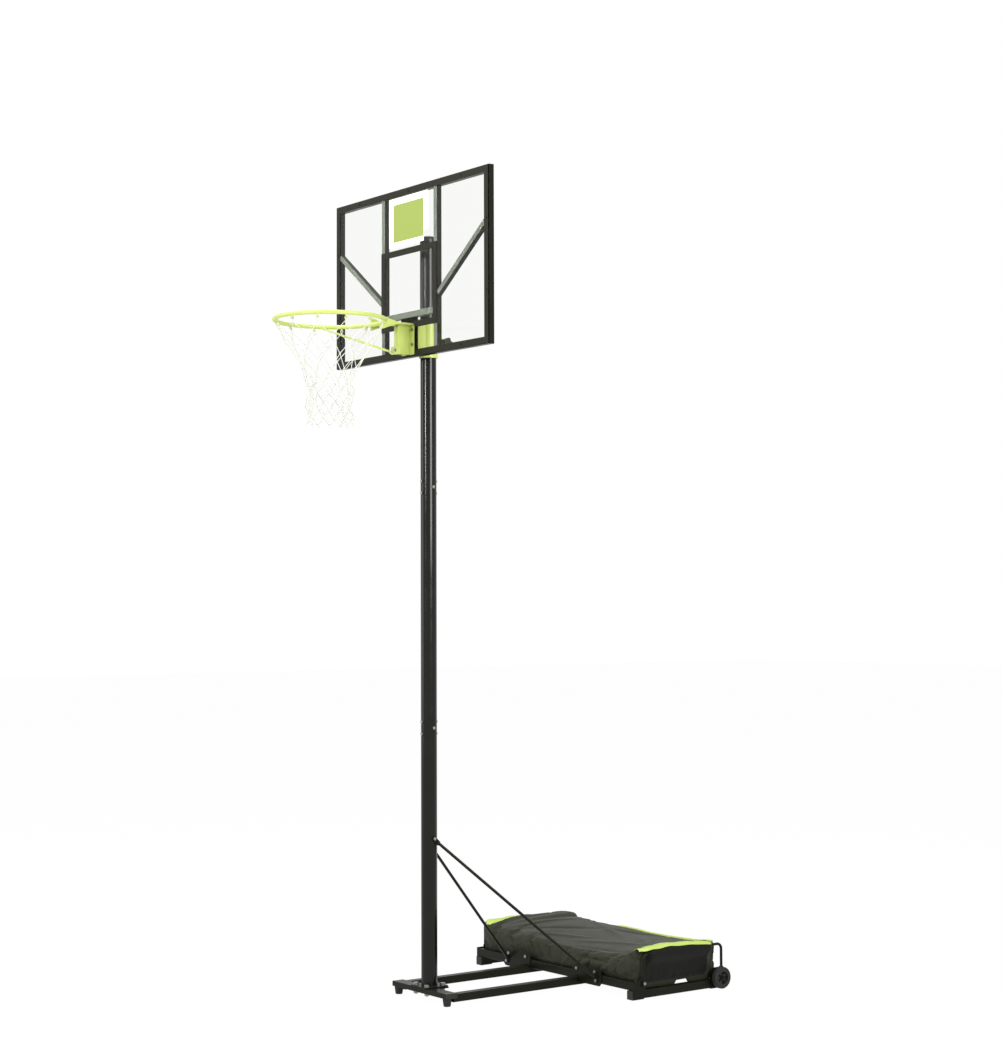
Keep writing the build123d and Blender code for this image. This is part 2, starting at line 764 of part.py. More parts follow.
with BuildPart() as ballast_bag:
    half_bag = bag_length / 2
    belly = 0.7 * half_bag
    low_front = bag_front_height + 12
    slices = (
        (-half_bag, bag_end_height, bag_end_height + 4, bag_end_height + 2),
        (-belly, low_front, (low_front + bag_rear_height) / 2, bag_rear_height),
        (0, bag_front_height, (bag_front_height + bag_rear_height) / 2, bag_rear_height),
        (belly, low_front, (low_front + bag_rear_height) / 2, bag_rear_height),
        (half_bag, bag_end_height, bag_end_height + 4, bag_end_height + 2),
    )
    for cut, following_cut in zip(slices, slices[1:]):
        loft([bag_section(*cut), bag_section(*following_cut)], ruled=True)
    sag_low = (-half_bag + 5, pole_y + tray_front + rail_size + bag_tuck)
    sag_high = (half_bag - 5, pole_y + tray_rear - rail_size - soft_gap)
    extrude(block(level(bag_floor), sag_low, sag_high), amount=rail_top + 1 - bag_floor)
    droop_start = tray_width / 2 - slat_margin + slat_width / 2 + soft_gap
    droop_end = tray_width / 2 - rail_size - soft_gap
    for _, sign in sides:
        edges = sorted((sign * droop_start, sign * droop_end))
        droop = block(level(bag_floor - bag_droop), (edges[0], sag_low[1]), (edges[1], sag_high[1]))
        extrude(droop, amount=bag_droop + 1)
    cavity_x = slab_side + slab_gap
    cavity = block(
        level(slab_floor),
        (-cavity_x, slab_front - soft_gap),
        (cavity_x, slab_front + slab_side + soft_gap),
    )
    extrude(cavity, amount=slab_thickness + soft_gap, mode=Mode.SUBTRACT)
save(ballast_bag, "ballast_bag")

# ---------------------------------------------------------------- backboard


def corners(inset):
    """Corners of the board's outline, drawn in by an inset."""
    x = board_width / 2 - inset
    low = board_bottom + inset
    high = board_top - inset
    return [(-x, low), (x, low), (x, high), (-x, high)]


screw_line_x = board_width / 2 - frame_face / 2
screw_low = board_bottom + frame_face / 2
screw_high = board_top - frame_face / 2
panel_screw_places = [(x * board_width / 3, z) for x in (-1, 0, 1) for z in (screw_low, screw_high)]
panel_screw_places += [
    (x, board_bottom + share * board_height)
    for x in (-screw_line_x, screw_line_x)
    for share in (0.3, 0.7)
]
mount_places = [
    (x, mount_bolt_bottom + z) for x in (-mount_bolt_width / 2, mount_bolt_width / 2) for z in (0, mount_bolt_height)
]
screw_hole = screw_diameter + 2 * running_fit
frame_back = frame_y + frame_depth

with BuildPart() as backboard_panel:
    with BuildSketch(facing(panel_y)):
        with Locations((0, board_bottom + board_height / 2)):
            RectangleRounded(board_width - 2 * panel_inset, board_height - 2 * panel_inset, panel_corner)
    extrude(amount=-panel_thickness)
    extrude(discs(facing(panel_y), panel_screw_places, screw_hole), -panel_thickness, mode=Mode.SUBTRACT)
    extrude(discs(facing(panel_y), mount_places, bolt_hole), -panel_thickness, mode=Mode.SUBTRACT)
save(backboard_panel, "backboard_panel")

outer, inner = corners(0), corners(frame_face)
hollow_outer, hollow_inner = corners(tube_wall), corners(frame_face - tube_wall)
for index, side in enumerate(("bottom", "right", "top", "left")):
    following = (index + 1) % 4
    with BuildPart() as frame_tube:
        wall = [outer[index], outer[following], inner[following], inner[index]]
        extrude(outline(facing(frame_y), wall), amount=-frame_depth)
        hollow = [hollow_outer[index], hollow_outer[following], hollow_inner[following], hollow_inner[index]]
        core = outline(facing(frame_y + tube_wall), hollow)
        extrude(core, amount=2 * tube_wall - frame_depth, mode=Mode.SUBTRACT)
        extrude(discs(facing(frame_y), panel_screw_places, screw_hole), amount=-tube_wall, mode=Mode.SUBTRACT)
    save(frame_tube, f"frame_{side}")

with BuildPart() as panel_screws:
    extrude(discs(facing(panel_y), panel_screw_places, screw_head), amount=screw_head_height)
    extrude(discs(facing(panel_y), panel_screw_places, screw_diameter), amount=-screw_length)
save(panel_screws, "panel_screws")

upright_bottom = board_bottom + frame_face
upright_length = board_height - 2 * frame_face
for side, sign in sides:
    with BuildPart() as upright:
        centre = (sign * upright_spacing / 2, frame_y + frame_depth / 2)
        extrude(tube_section(level(upright_bottom), centre, upright_width, frame_depth), amount=upright_length)
    save(upright, f"upright_{side}")

inner_span = upright_spacing - upright_width
cross_z = board_bottom + cross_tube_middle
with BuildPart() as cross_tube:
    centre = (frame_y + frame_depth / 2, cross_z)
    extrude(tube_section(across(-inner_span / 2), centre, frame_depth, cross_tube_height), amount=inner_span)
save(cross_tube, "cross_tube")

brace_inner_x = (upright_spacing + upright_width) / 2
brace_outer_x = board_width / 2 - frame_face
brace_rise = brace_outer_height - brace_inner_height
brace_slope = math.atan2(brace_rise, brace_outer_x - brace_inner_x)
for side, sign in sides:
    with BuildPart() as diagonal:
        for shrink, depth_trim in ((0, 0), (tube_wall, tube_wall)):
            half = (brace_tube / 2 - shrink) / math.cos(brace_slope)
            inner_z = board_bottom + brace_inner_height
            outer_z = board_bottom + brace_outer_height
            shape = [
                (sign * brace_inner_x, inner_z - half),
                (sign * brace_outer_x, outer_z - half),
                (sign * brace_outer_x, outer_z + half),
                (sign * brace_inner_x, inner_z + half),
            ]
            section = outline(facing(frame_y + depth_trim), shape)
            depth = brace_tube - 2 * depth_trim
            extrude(section, amount=-depth, mode=Mode.SUBTRACT if shrink else Mode.ADD)
    save(diagonal, f"diagonal_{side}")

with BuildPart() as mount_plate:
    low = (-mount_plate_width / 2, board_bottom + frame_face)
    high = (mount_plate_width / 2, cross_z - cross_tube_height / 2)
    extrude(block(facing(frame_y), low, high), amount=-mount_plate_thickness)
    extrude(discs(facing(frame_y), mount_places, bolt_hole), -mount_plate_thickness, mode=Mode.SUBTRACT)
save(mount_plate, "mount_plate")

# ---------------------------------------------------------------- ring bracket

nose = bracket_nose / 2
with BuildPart() as ring_bracket:
    with BuildSketch(level(bracket_bottom)):
        with BuildLine():
            Polyline(
                (-bracket_width / 2, panel_y),
                (-bracket_width / 2, bracket_y),
                (-nose, bracket_y),
                (-nose, nose_y),
                (nose, nose_y),
                (nose, bracket_y),
                (bracket_width / 2, bracket_y),
                (bracket_width / 2, panel_y),
                (nose - bracket_sheet, panel_y),
                (nose - bracket_sheet, nose_y + bracket_sheet),
                (bracket_sheet - nose, nose_y + bracket_sheet),
                (bracket_sheet - nose, panel_y),
                close=True,
            )
        make_face()
    extrude(amount=bracket_top - bracket_bottom)
    lid = block(level(bracket_top), (-nose, nose_y), (nose, panel_y))
    extrude(lid, amount=-bracket_sheet)
    slot = block(facing(nose_y), (-nose, bracket_top - bracket_slot), (nose, bracket_top))
    extrude(slot, amount=-bracket_sheet, mode=Mode.SUBTRACT)
    extrude(discs(facing(bracket_y), mount_places, bolt_hole), amount=-bracket_sheet, mode=Mode.SUBTRACT)
    lid_bolts = [(0, nose_y + share * bracket_depth) for share in (0.32, 0.72)]
    extrude(discs(level(bracket_top), lid_bolts, bolt_hole), amount=-bracket_sheet, mode=Mode.SUBTRACT)
    stay_bolt = (0, bracket_bottom + stay_lug_height / 2)
    extrude(discs(facing(nose_y), [stay_bolt], bolt_hole), amount=-bracket_sheet, mode=Mode.SUBTRACT)
save(ring_bracket, "ring_bracket")

with BuildPart() as mount_bolts:
    head_seat = Plane((0, bracket_y, 0), x_dir=(1, 0, 0), z_dir=(0, 1, 0))
    mount_grip = sleeve_face - bracket_y
    for x, z in mount_places:
        add(bolted(head_seat, (x, -z), light_bolt, mount_grip))
save(mount_bolts, "mount_bolts")

# ---------------------------------------------------------------- ring

ring_back = ring_y + ring_radius
ring_axis = Axis((0, ring_y, 0), (0, 0, 1))
stay_turn = math.radians(stay_angle)
stay_start = Vector(-stay_offset, nose_y - bracket_sheet / 2, bracket_bottom + stay_diameter)
stay_finish = Vector(
    -ring_radius * math.cos(stay_turn),
    ring_y + ring_radius * math.sin(stay_turn),
    rim_height - ring_rod / 4,
)
stay_plane = Plane(stay_start, z_dir=stay_finish - stay_start)
stay_length = (stay_finish - stay_start).length

with BuildPart() as ring:
    plate = block(level(bracket_top), (-bracket_width / 2, ring_back), (bracket_width / 2, bracket_y - 1))
    extrude(plate, amount=ring_plate_thickness)
    extrude(discs(level(bracket_top), lid_bolts, bolt_hole), amount=ring_plate_thickness, mode=Mode.SUBTRACT)
    gusset = [
        (ring_back, rim_height - gusset_fall + 6),
        (ring_back, rim_height + gusset_rise + ring_rod / 2),
        (ring_back + gusset_length, ring_plate_top + 4),
        (ring_back + gusset_length + 20, ring_plate_top),
        (ring_back + gusset_length + 20, bracket_top),
        (ring_back + gusset_length, bracket_top - 6),
    ]
    for _, sign in sides:
        wing = outline(across(sign * bracket_width / 2), gusset)
        extrude(wing, amount=-sign * bracket_sheet)
    stay_low = (-stay_lug_width / 2, bracket_bottom)
    stay_high = (stay_lug_width / 2, bracket_bottom + stay_lug_height)
    extrude(block(facing(nose_y), stay_low, stay_high), amount=bracket_sheet)
    extrude(discs(facing(nose_y), [stay_bolt], bolt_hole), amount=bracket_sheet, mode=Mode.SUBTRACT)
    with BuildSketch(stay_plane):
        Circle(stay_diameter / 2)
    extrude(amount=stay_length)
    for index in range(hook_count):
        turn = math.radians((index + 0.5) * 360 / hook_count)
        outward = Vector(math.cos(turn), math.sin(turn), 0)
        spoke = Plane((0, ring_y, rim_height), x_dir=outward, z_dir=outward.cross(Vector(0, 0, 1)))
        with BuildLine(spoke) as hook_line:
            FilletPolyline(
                (ring_radius, -ring_rod / 4),
                (ring_radius, -hook_drop),
                (ring_radius - hook_reach, -hook_drop),
                (ring_radius - hook_reach, hook_bend + hook_wire - hook_drop),
                radius=hook_bend,
            )
        with BuildSketch(Plane(hook_line.line @ 0, z_dir=hook_line.line % 0)):
            Circle(hook_wire / 2)
        sweep(path=hook_line.line)
    with BuildSketch(facing(ring_y)):
        with Locations((-ring_radius, rim_height)):
            Circle(ring_rod / 2)
    revolve(axis=ring_axis)
save(ring, "ring")

with BuildPart() as ring_bolts:
    lid_seat = Plane((0, 0, ring_plate_top), x_dir=(1, 0, 0), z_dir=(0, 0, -1))
    for x, y in lid_bolts:
        add(bolted(lid_seat, (x, -y), light_bolt, ring_plate_thickness + bracket_sheet))
    stay_seat = Plane((0, nose_y - bracket_sheet, 0), x_dir=(1, 0, 0), z_dir=(0, 1, 0))
    add(bolted(stay_seat, (0, -stay_bolt[1]), light_bolt, 2 * bracket_sheet))
save(ring_bolts, "ring_bolts")

# ---------------------------------------------------------------- net

net_top = rim_height - hook_drop - hook_wire / 2 - sliding_fit
with BuildPart() as net:
    shoulder = net_top - net_length * net_knee
    bottom = net_top - net_length
    mouth, tail = net_mouth / 2, net_tube / 2
    with BuildSketch(facing(ring_y)):
        with BuildLine():
            outside = Spline((mouth, net_top), (tail, shoulder), tangents=[(-0.5, -1), (0, -1)])
            Polyline((tail, shoulder), (tail, bottom), (tail - net_cord, bottom), (tail - net_cord, shoulder))
            Spline(
                (tail - net_cord, shoulder), (mouth - net_cord, net_top), tangents=[(0, 1), (0.5, 1)]
            )
            Line((mouth - net_cord, net_top), (mouth, net_top))
        make_face()
    revolve(axis=ring_axis)
    with BuildSketch(stay_plane):
        Circle(stay_diameter / 2 + net_cord)
    extrude(amount=stay_length, mode=Mode.SUBTRACT)
save(net, "net")

# ---------------------------------------------------------------- sliding sleeve

bore = pole_diameter + 2 * sliding_fit
flange_low = (-sleeve_flange_width / 2, board_bottom + frame_face + 2)
flange_high = (sleeve_flange_width / 2, sleeve_bottom + sleeve_height)
cheek_x = cheek_spacing / 2
with BuildPart() as pole_sleeve:
    extrude(discs(level(sleeve_bottom), [(0, pole_y)], sleeve_diameter), amount=sleeve_height)
    for _, sign in sides:
        edges = sorted((sign * (cheek_x - cheek_thickness / 2), sign * (cheek_x + cheek_thickness / 2)))
        cheek = block(level(flange_low[1]), (edges[0], sleeve_face), (edges[1], pole_y))
        extrude(cheek, amount=flange_high[1] - flange_low[1])
        ear = sorted((sign * sleeve_slit / 2, sign * ear_x))
        flap = block(level(ear_bottom), (ear[0], pole_y + pole_radius), (ear[1], pole_y + ear_reach))
        extrude(flap, amount=ear_height)
    extrude(block(facing(mount_back), flange_low, flange_high), amount=-cheek_thickness)
    clamp_place = [(clamp_y, clamp_z)]
    nut = hexagons(across(-ear_x), (clamp_y, clamp_z), knob_screw * 2)
    extrude(nut, amount=-knob_nut)
    extrude(discs(level(sleeve_bottom), [(0, pole_y)], bore), amount=sleeve_height, mode=Mode.SUBTRACT)
    slit = block(level(sleeve_bottom), (-sleeve_slit / 2, pole_y), (sleeve_slit / 2, pole_y + ear_reach))
    extrude(slit, amount=sleeve_height, mode=Mode.SUBTRACT)
    screw_bore = discs(across(0), clamp_place, knob_screw + 2 * running_fit)
    extrude(screw_bore, amount=ear_x + knob_nut, both=True, mode=Mode.SUBTRACT)
    extrude(discs(facing(mount_back), mount_places, bolt_hole), amount=-cheek_thickness, mode=Mode.SUBTRACT)
save(pole_sleeve, "pole_sleeve")

with BuildPart() as clamp_knob:
    collar_x = ear_x + sliding_fit
    knob_x = collar_x + knob_stem
    screw_start = -ear_x - knob_nut - bolt_tail
    extrude(discs(across(screw_start), clamp_place, knob_screw), amount=knob_x - screw_start)
    extrude(discs(across(collar_x), clamp_place, knob_collar), amount=knob_stem)
    with BuildSketch(across(knob_x)):
        with Locations((clamp_y, clamp_z)):
            Circle(knob_diameter * 0.36)
            with PolarLocations(knob_diameter * 0.34, knob_lobes):
                Circle(knob_diameter * 0.16)
    extrude(amount=knob_width)
    fillet(clamp_knob.faces().sort_by(Axis.X)[-1].edges(), 2.5)
save(clamp_knob, "clamp_knob")
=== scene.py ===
"""Portable basketball hoop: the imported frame, its finishes and its soft goods."""

import json
import math

import bpy
from mathutils import Matrix, Vector
from mathutils.bvhtree import BVHTree

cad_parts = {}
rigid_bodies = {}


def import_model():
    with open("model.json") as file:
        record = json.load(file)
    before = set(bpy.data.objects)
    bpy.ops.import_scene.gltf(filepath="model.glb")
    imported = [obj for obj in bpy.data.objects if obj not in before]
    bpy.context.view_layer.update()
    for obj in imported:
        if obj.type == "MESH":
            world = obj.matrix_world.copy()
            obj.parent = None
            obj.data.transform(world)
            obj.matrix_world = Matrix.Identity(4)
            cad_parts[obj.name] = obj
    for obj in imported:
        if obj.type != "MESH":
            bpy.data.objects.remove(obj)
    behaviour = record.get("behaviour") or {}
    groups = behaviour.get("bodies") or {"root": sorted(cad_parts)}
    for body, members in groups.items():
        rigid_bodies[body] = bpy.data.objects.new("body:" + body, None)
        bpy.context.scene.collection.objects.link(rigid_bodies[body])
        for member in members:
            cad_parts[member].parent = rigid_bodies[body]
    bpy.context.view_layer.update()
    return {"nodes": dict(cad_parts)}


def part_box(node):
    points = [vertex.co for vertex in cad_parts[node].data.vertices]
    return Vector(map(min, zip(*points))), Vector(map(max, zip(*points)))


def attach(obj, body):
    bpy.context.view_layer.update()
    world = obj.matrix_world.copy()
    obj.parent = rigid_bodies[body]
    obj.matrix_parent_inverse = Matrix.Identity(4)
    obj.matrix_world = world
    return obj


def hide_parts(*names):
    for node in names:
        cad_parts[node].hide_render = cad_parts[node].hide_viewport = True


bpy.ops.object.select_all(action="SELECT")
bpy.ops.object.delete()
bpy.context.scene.view_settings.view_transform = "Standard"
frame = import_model()
nodes = frame["nodes"]
bpy.ops.object.select_all(action="DESELECT")

# ---------------------------------------------------------------- camera
# A long lens at a standing person's eye height, well to the side of the ring.
# It aims a little above the horizon, so that the whole hoop is in view.

pole_low, pole_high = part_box("lower_pole")
pole_y = (pole_low.y + pole_high.y) / 2
around = math.radians(55.256)
distance = 8.917
eye_height = 1.687
bpy.ops.object.camera_add(
    location=(distance * math.sin(around), pole_y - distance * math.cos(around), eye_height),
    rotation=(math.radians(92.466), math.radians(0.184), math.radians(53.238)),
)
camera = bpy.context.object
camera.data.sensor_width = 36
camera.data.lens = 71.16
bpy.context.scene.camera = camera

# ---------------------------------------------------------------- studio
# A white sweep under a broad overhead light, with a large panel on the ring's
# side and a narrow one behind the camera that draws streaks along the tubes.


def linear(code):
    """Linear colour of an sRGB hex code."""
    parts = [int(code[i : i + 2], 16) / 255 for i in (1, 3, 5)]
    return [p / 12.92 if p <= 0.04045 else ((p + 0.055) / 1.055) ** 2.4 for p in parts] + [1.0]


def add_node(tree, kind, settings=None, links=None):
    """Add a shader node, with its properties or socket values and what feeds it."""
    made = tree.nodes.new(kind)
    for name, value in (settings or {}).items():
        if isinstance(name, str) and hasattr(made, name):
            setattr(made, name, value)
        else:
            made.inputs[name].default_value = value
    for name, source in (links or {}).items():
        tree.links.new(source, made.inputs[name])
    return made


def seen_directly(tree, others):
    """1 for rays that the camera sends, straight or by way of the listed kinds."""
    rays = add_node(tree, "ShaderNodeLightPath")
    total = rays.outputs["Is Camera Ray"]
    for other in others:
        total = add_node(
            tree,
            "ShaderNodeMath",
            {"operation": "ADD", "use_clamp": True},
            {0: total, 1: rays.outputs[other]},
        ).outputs[0]
    return total


world = bpy.data.worlds.new("white studio")
bpy.context.scene.world = world
world.use_nodes = True
tree = world.node_tree
tree.nodes.clear()
fill = add_node(tree, "ShaderNodeBackground", {"Color": linear("#ffffff"), "Strength": 0.42})
white = add_node(tree, "ShaderNodeBackground", {"Color": linear("#ffffff"), "Strength": 1.0})
shown = seen_directly(tree, ["Is Glossy Ray", "Is Transmission Ray"])
sky = add_node(
    tree, "ShaderNodeMixShader", None, {0: shown, 1: fill.outputs[0], 2: white.outputs[0]}
)
add_node(tree, "ShaderNodeOutputWorld", None, {"Surface": sky.outputs[0]})

bpy.ops.mesh.primitive_plane_add(size=80)
floor = bpy.context.object
floor.name = "studio_floor"
paper = bpy.data.materials.new("white paper sweep")
paper.use_nodes = True
tree = paper.node_tree
tree.nodes.clear()
matt = add_node(tree, "ShaderNodeBsdfDiffuse", {"Color": linear("#f4f4f4")})
glow = add_node(tree, "ShaderNodeEmission", {"Color": linear("#ffffff"), "Strength": 1.0})
glow_share = 0.98
shown = add_node(
    tree,
    "ShaderNodeMath",
    {"operation": "MULTIPLY", 1: glow_share},
    {0: seen_directly(tree, ["Is Glossy Ray", "Is Transmission Ray"])},
)
cover = add_node(
    tree,
    "ShaderNodeMixShader",
    None,
    {0: shown.outputs[0], 1: matt.outputs[0], 2: glow.outputs[0]},
)
add_node(tree, "ShaderNodeOutputMaterial", None, {"Surface": cover.outputs[0]})
floor.data.materials.append(paper)

lamps_aim = Vector((0, 0, 1.7))
for place, size, power in (
    ((-1.0, -1.5, 7.0), (5.0, 5.0), 370.0),
    ((-4.5, -6.0, 3.2), (2.4, 5.0), 130.0),
    ((7.3, 0.2, 3.8), (3.2, 3.6), 560.0),
    ((1.6, -7.2, 3.8), (0.9, 2.0), 330.0),
):
    bpy.ops.object.light_add(type="AREA", location=place)
    lamp = bpy.context.object
    lamp.data.shape = "RECTANGLE"
    lamp.data.size, lamp.data.size_y = size
    lamp.data.energy = power
    toward = lamps_aim - Vector(place)
    lamp.rotation_euler = toward.to_track_quat("-Z", "Y").to_euler()

# ---------------------------------------------------------------- pole, beams and tray
# Drawn steel tube and pressed plate, cut, welded and powder coated an olive black.
# The coat is semi-gloss, with the faint orange peel of baked powder.


def new_finish(name):
    """A material, its node tree and its main shader."""
    made = bpy.data.materials.new(name)
    made.use_nodes = True
    return made, made.node_tree, made.node_tree.nodes["Principled BSDF"]


def dress(material, *names):
    """Give CAD nodes a finish."""
    for name in names:
        piece = nodes[name]
        piece.data.materials.clear()
        piece.data.materials.append(material)


def powder_coat(name, colour, worn, roughness, specular):
    """Baked powder: orange peel 2 mm across, dust in the low spots."""
    made, tree, shader = new_finish(name)
    place = add_node(tree, "ShaderNodeTexCoord").outputs["Object"]
    peel = add_node(tree, "ShaderNodeTexNoise", {"Scale": 480.0, "Detail": 2.0}, {"Vector": place})
    cloud = add_node(tree, "ShaderNodeTexNoise", {"Scale": 9.0, "Detail": 4.0}, {"Vector": place})
    tone = add_node(
        tree,
        "ShaderNodeMix",
        {"data_type": "RGBA", 6: linear(colour), 7: linear(worn)},
        {0: cloud.outputs[0]},
    )
    smooth, dusty = roughness - 0.06, roughness + 0.06
    gloss = add_node(
        tree,
        "ShaderNodeMapRange",
        {"From Min": 0.3, "From Max": 0.7, "To Min": smooth, "To Max": dusty},
        {"Value": cloud.outputs[0]},
    )
    bump = add_node(
        tree, "ShaderNodeBump", {"Strength": 0.12, "Distance": 0.0004}, {"Height": peel.outputs[0]}
    )
    tree.links.new(tone.outputs[2], shader.inputs["Base Color"])
    tree.links.new(gloss.outputs[0], shader.inputs["Roughness"])
    tree.links.new(bump.outputs[0], shader.inputs["Normal"])
    shader.inputs["Specular IOR Level"].default_value = specular
    return made


black_powder = powder_coat("olive-black powder coat", "#0d0e07", "#14150c", 0.34, 0.10)
gloss_black = powder_coat("gloss black powder coat", "#080805", "#0e0e09", 0.15, 0.24)
dress(gloss_black, "lower_pole", "middle_pole", "upper_pole")
dress(
    black_powder,
    "panel_screws",
    "wheel_axles",
    "pole_flange",
    "base_shelf",
    "front_crossbar",
    "beam_left",
    "beam_right",
    "front_rail",
    "rear_rail",
    "end_rail_left",
    "end_rail_right",
    "tray_slats",
    "strut_plates",
    "corner_plates",
    "wheel_plates",
    "bag_hoop_left",
    "bag_hoop_right",
    "strut_left",
    "strut_right",
    "frame_top",
    "frame_bottom",
    "frame_left",
    "frame_right",
    "upright_left",
    "upright_right",
    "cross_tube",
    "diagonal_left",
    "diagonal_right",
    "mount_plate",
)

# ---------------------------------------------------------------- feet, caps and shoes
# Moulded polypropylene plugs and pads, and soft rubber feet, all black.
# Moulding leaves them matt, with a fine spark-eroded grain.


def moulded(name, colour, roughness, grain):
    """Moulded or cast goods, dusty in places, with a grain of the given size in millimetres."""
    made, tree, shader = new_finish(name)
    place = add_node(tree, "ShaderNodeTexCoord").outputs["Object"]
    speck = add_node(
        tree, "ShaderNodeTexNoise", {"Scale": 1000 / grain, "Detail": 3.0}, {"Vector": place}
    )
    bump = add_node(
        tree, "ShaderNodeBump", {"Strength": 0.2, "Distance": 0.0003}, {"Height": speck.outputs[0]}
    )
    dust = add_node(tree, "ShaderNodeTexNoise", {"Scale": 25.0, "Detail": 5.0}, {"Vector": place})
    tone = add_node(
        tree,
        "ShaderNodeMix",
        {"data_type": "RGBA", 6: linear(colour), 7: linear("#1c1c19")},
        {0: dust.outputs[0]},
    )
    tree.links.new(tone.outputs[2], shader.inputs["Base Color"])
    tree.links.new(bump.outputs[0], shader.inputs["Normal"])
    shader.inputs["Roughness"].default_value = roughness
    shader.inputs["Specular IOR Level"].default_value = 0.3
    return made


black_polypropylene = moulded("moulded black polypropylene", "#0c0c0a", 0.5, 1.2)
soft_rubber = moulded("moulded black rubber", "#0d0d0c", 0.72, 1.6)
dress(
    black_polypropylene,
    "pole_cap",
    "tube_end_caps",
    "rail_shoes",
    "left_hub",
    "right_hub",
    "clamp_knob",
)
dress(soft_rubber, "front_foot_left", "front_foot_right", "left_tyre", "right_tyre")

# ---------------------------------------------------------------- bolts
# Cold-headed steel bolts, washers and nuts, zinc plated.
# The plating is bright but fine-grained, so highlights spread a little.

zinc, tree, shader = new_finish("bright zinc-plated steel")
place = add_node(tree, "ShaderNodeTexCoord").outputs["Object"]
grain = add_node(tree, "ShaderNodeTexNoise", {"Scale": 300.0, "Detail": 4.0}, {"Vector": place})
gloss = add_node(
    tree, "ShaderNodeMapRange", {"To Min": 0.26, "To Max": 0.42}, {"Value": grain.outputs[0]}
)
tree.links.new(gloss.outputs[0], shader.inputs["Roughness"])
shader.inputs["Base Color"].default_value = linear("#8d8c86")
shader.inputs["Metallic"].default_value = 1.0
dress(
    zinc,
    "splice_bolts",
    "base_bolts",
    "foot_studs",
    "plate_bolts",
    "hoop_bolts",
    "strut_pole_bolt",
    "mount_bolts",
    "ring_bolts",
)

# ---------------------------------------------------------------- clear board
# Extruded polycarbonate sheet, coated against glare, so that it reflects less than the
# bare plastic. It has a faint grey-green cast and the slight waviness of its rollers.

clear_sheet, tree, shader = new_finish("clear polycarbonate sheet")
place = add_node(tree, "ShaderNodeTexCoord").outputs["Object"]
wave = add_node(tree, "ShaderNodeTexNoise", {"Scale": 3.0, "Detail": 1.0}, {"Vector": place})
bump = add_node(
    tree, "ShaderNodeBump", {"Strength": 0.05, "Distance": 0.002}, {"Height": wave.outputs[0]}
)
tree.links.new(bump.outputs[0], shader.inputs["Normal"])
shader.inputs["Base Color"].default_value = linear("#f7f8f5")
shader.inputs["Roughness"].default_value = 0.04
shader.inputs["IOR"].default_value = 1.15
shader.inputs["Transmission Weight"].default_value = 1.0
rays = add_node(tree, "ShaderNodeLightPath")
passing = add_node(tree, "ShaderNodeBsdfTransparent", {"Color": linear("#f4f5f2")})
through = add_node(
    tree,
    "ShaderNodeMixShader",
    None,
    {0: rays.outputs["Is Shadow Ray"], 1: shader.outputs[0], 2: passing.outputs[0]},
)
tree.links.new(through.outputs[0], tree.nodes["Material Output"].inputs["Surface"])
dress(clear_sheet, "backboard_panel")

# The sheet's print: a black border over the frame, the target above the ring and a
# plain lime label on a white ground, screen printed in thick ink on its front face.

panel_low, panel_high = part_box("backboard_panel")
ink_height = 0.0004
ink_rise = 0.00005  # keeps the ink's back off the sheet, so that both faces are lit
border_width = 0.028
target_line = 0.028


def ink(name, colour):
    """Screen ink: flat colour with the mesh's fine stipple."""
    made, tree, shader = new_finish(name)
    place = add_node(tree, "ShaderNodeTexCoord").outputs["Object"]
    stipple = add_node(
        tree, "ShaderNodeTexNoise", {"Scale": 700.0, "Detail": 1.0}, {"Vector": place}
    )
    bump = add_node(
        tree,
        "ShaderNodeBump",
        {"Strength": 0.08, "Distance": 0.0002},
        {"Height": stipple.outputs[0]},
    )
    tree.links.new(bump.outputs[0], shader.inputs["Normal"])
    shader.inputs["Base Color"].default_value = linear(colour)
    shader.inputs["Roughness"].default_value = 0.55
    shader.inputs["Specular IOR Level"].default_value = 0.1
    return made


def printed(name, low, high, line, material):
    """A printed patch on the sheet's front, or an outline where a line width is given."""
    bpy.ops.object.select_all(action="DESELECT")
    middle = ((low[0] + high[0]) / 2, panel_low.y - ink_height, (low[1] + high[1]) / 2)
    bpy.ops.mesh.primitive_plane_add(size=1, location=middle, rotation=(math.pi / 2, 0, 0))
    patch = bpy.context.object
    patch.name = name
    patch.scale = (high[0] - low[0], high[1] - low[1], 1)
    bpy.ops.object.transform_apply(location=True, rotation=True, scale=True)
    bpy.ops.object.mode_set(mode="EDIT")
    bpy.ops.mesh.select_all(action="SELECT")
    if line:
        bpy.ops.mesh.inset(thickness=line)
        bpy.ops.mesh.delete(type="FACE")
        bpy.ops.mesh.select_all(action="SELECT")
    depth = ink_height - ink_rise
    bpy.ops.mesh.extrude_region_move(TRANSFORM_OT_translate={"value": (0, depth, 0)})
    bpy.ops.mesh.select_all(action="SELECT")
    bpy.ops.mesh.normals_make_consistent(inside=False)
    bpy.ops.object.mode_set(mode="OBJECT")
    patch.data.materials.append(material)
    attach(patch, "board")
    return patch


black_ink = ink("black screen ink", "#1e1e16")
lime_ink = ink("lime screen ink", "#88974d")
white_ink = ink("white screen ink", "#f2f4ea")
sheet_low, sheet_high = (panel_low.x, panel_low.z), (panel_high.x, panel_high.z)
printed("border_print", sheet_low, sheet_high, border_width, black_ink)
printed("target_print", (-0.2125, 2.895), (0.2125, 3.248), target_line, black_ink)
printed("label_ground_print", (-0.150, 3.262), (0.118, 3.478), 0, white_ink)
printed("label_margin_print", (0.118, 3.312), (0.150, 3.478), 0, white_ink)
label = printed("label_print", (-0.116, 3.284), (0.116, 3.449), 0, lime_ink)
label.data.transform(Matrix.Translation((0, -ink_height / 2, 0)))
